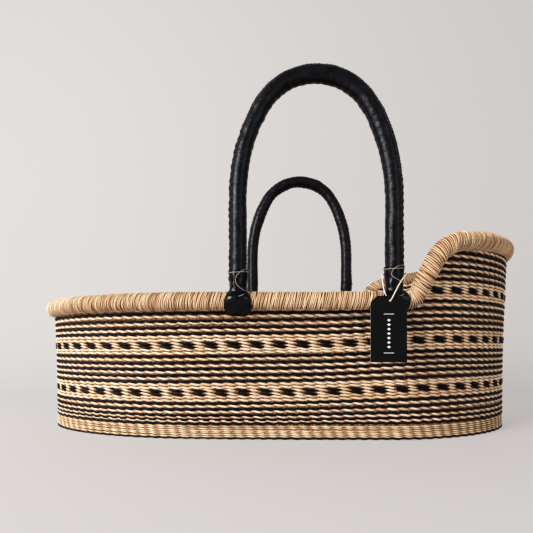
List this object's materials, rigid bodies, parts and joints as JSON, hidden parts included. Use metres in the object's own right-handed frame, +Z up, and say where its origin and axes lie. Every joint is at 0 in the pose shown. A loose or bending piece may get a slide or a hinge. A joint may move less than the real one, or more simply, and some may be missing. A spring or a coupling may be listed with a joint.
{
  "type": "moses basket",
  "caption": "Oval woven grass baby basket with a raised head end, thick wrapped rim, two long leather-wrapped carry handles that swing, and a hang tag.",
  "frame": {"origin": "centre of the base on the surface the basket stands on, midway between the long sides", "axes": "+X towards the raised head end, -Y the front long side, +Z up"},
  "size_m": [0.8467, 0.4651, 0.5547],
  "materials": {
    "natural_grass": "matt twined grass",
    "striped_grass": "matt twined grass in black and natural rows",
    "rim_grass": "satin wrapped grass",
    "black_leather": "satin",
    "waxed_thread": "waxed",
    "black_card": "matt",
    "pale_string": "matt"
  },
  "bodies": {
    "basket": {"base_panel": "natural_grass", "base_border": "natural_grass", "wall_weave": "striped_grass", "head_weave": "striped_grass", "foot_rim_core": "natural_grass", "front_rim_core": "natural_grass", "back_rim_core": "natural_grass", "head_rim_core": "natural_grass", "foot_rim_wrap": "rim_grass", "front_rim_wrap": "rim_grass", "back_rim_wrap": "rim_grass", "head_rim_wrap": "rim_grass", "front_left_rim_patch": "black_leather", "front_right_rim_patch": "black_leather", "back_left_rim_patch": "black_leather", "back_right_rim_patch": "black_leather"},
    "front_handle": {"front_handle_core": "natural_grass", "front_handle_leather": "black_leather", "front_handle_seam": "black_leather", "front_left_cuff": "black_leather", "front_left_thread": "waxed_thread", "front_right_cuff": "black_leather", "front_right_thread": "waxed_thread", "tag_string_loop": "pale_string"},
    "back_handle": {"back_handle_core": "natural_grass", "back_handle_leather": "black_leather", "back_handle_seam": "black_leather", "back_left_cuff": "black_leather", "back_left_thread": "waxed_thread", "back_right_cuff": "black_leather", "back_right_thread": "waxed_thread"},
    "hang_tag": {"hang_tag": "black_card", "tag_string": "pale_string"}
  },
  "joints": [
    {"name": "front_handle_hinge", "type": "hinge", "parent": "basket", "child": "front_handle", "pos_m": [0.077, -0.20661, 0.232], "axis": [1, 0, 0], "range_deg": [-38, 60]},
    {"name": "back_handle_hinge", "type": "hinge", "parent": "basket", "child": "back_handle", "pos_m": [0.077, 0.20661, 0.232], "axis": [-1, 0, 0], "range_deg": [-38, 60]},
    {"name": "tag_swing", "type": "hinge", "parent": "front_handle", "child": "hang_tag", "pos_m": [0.189, -0.20661, 0.251], "axis": [1, 0, 0], "range_deg": [-37, 24]}
  ],
  "couplings": [
    {"joint": "tag_swing", "follows": "front_handle_hinge", "ratio": -0.6}
  ]
}
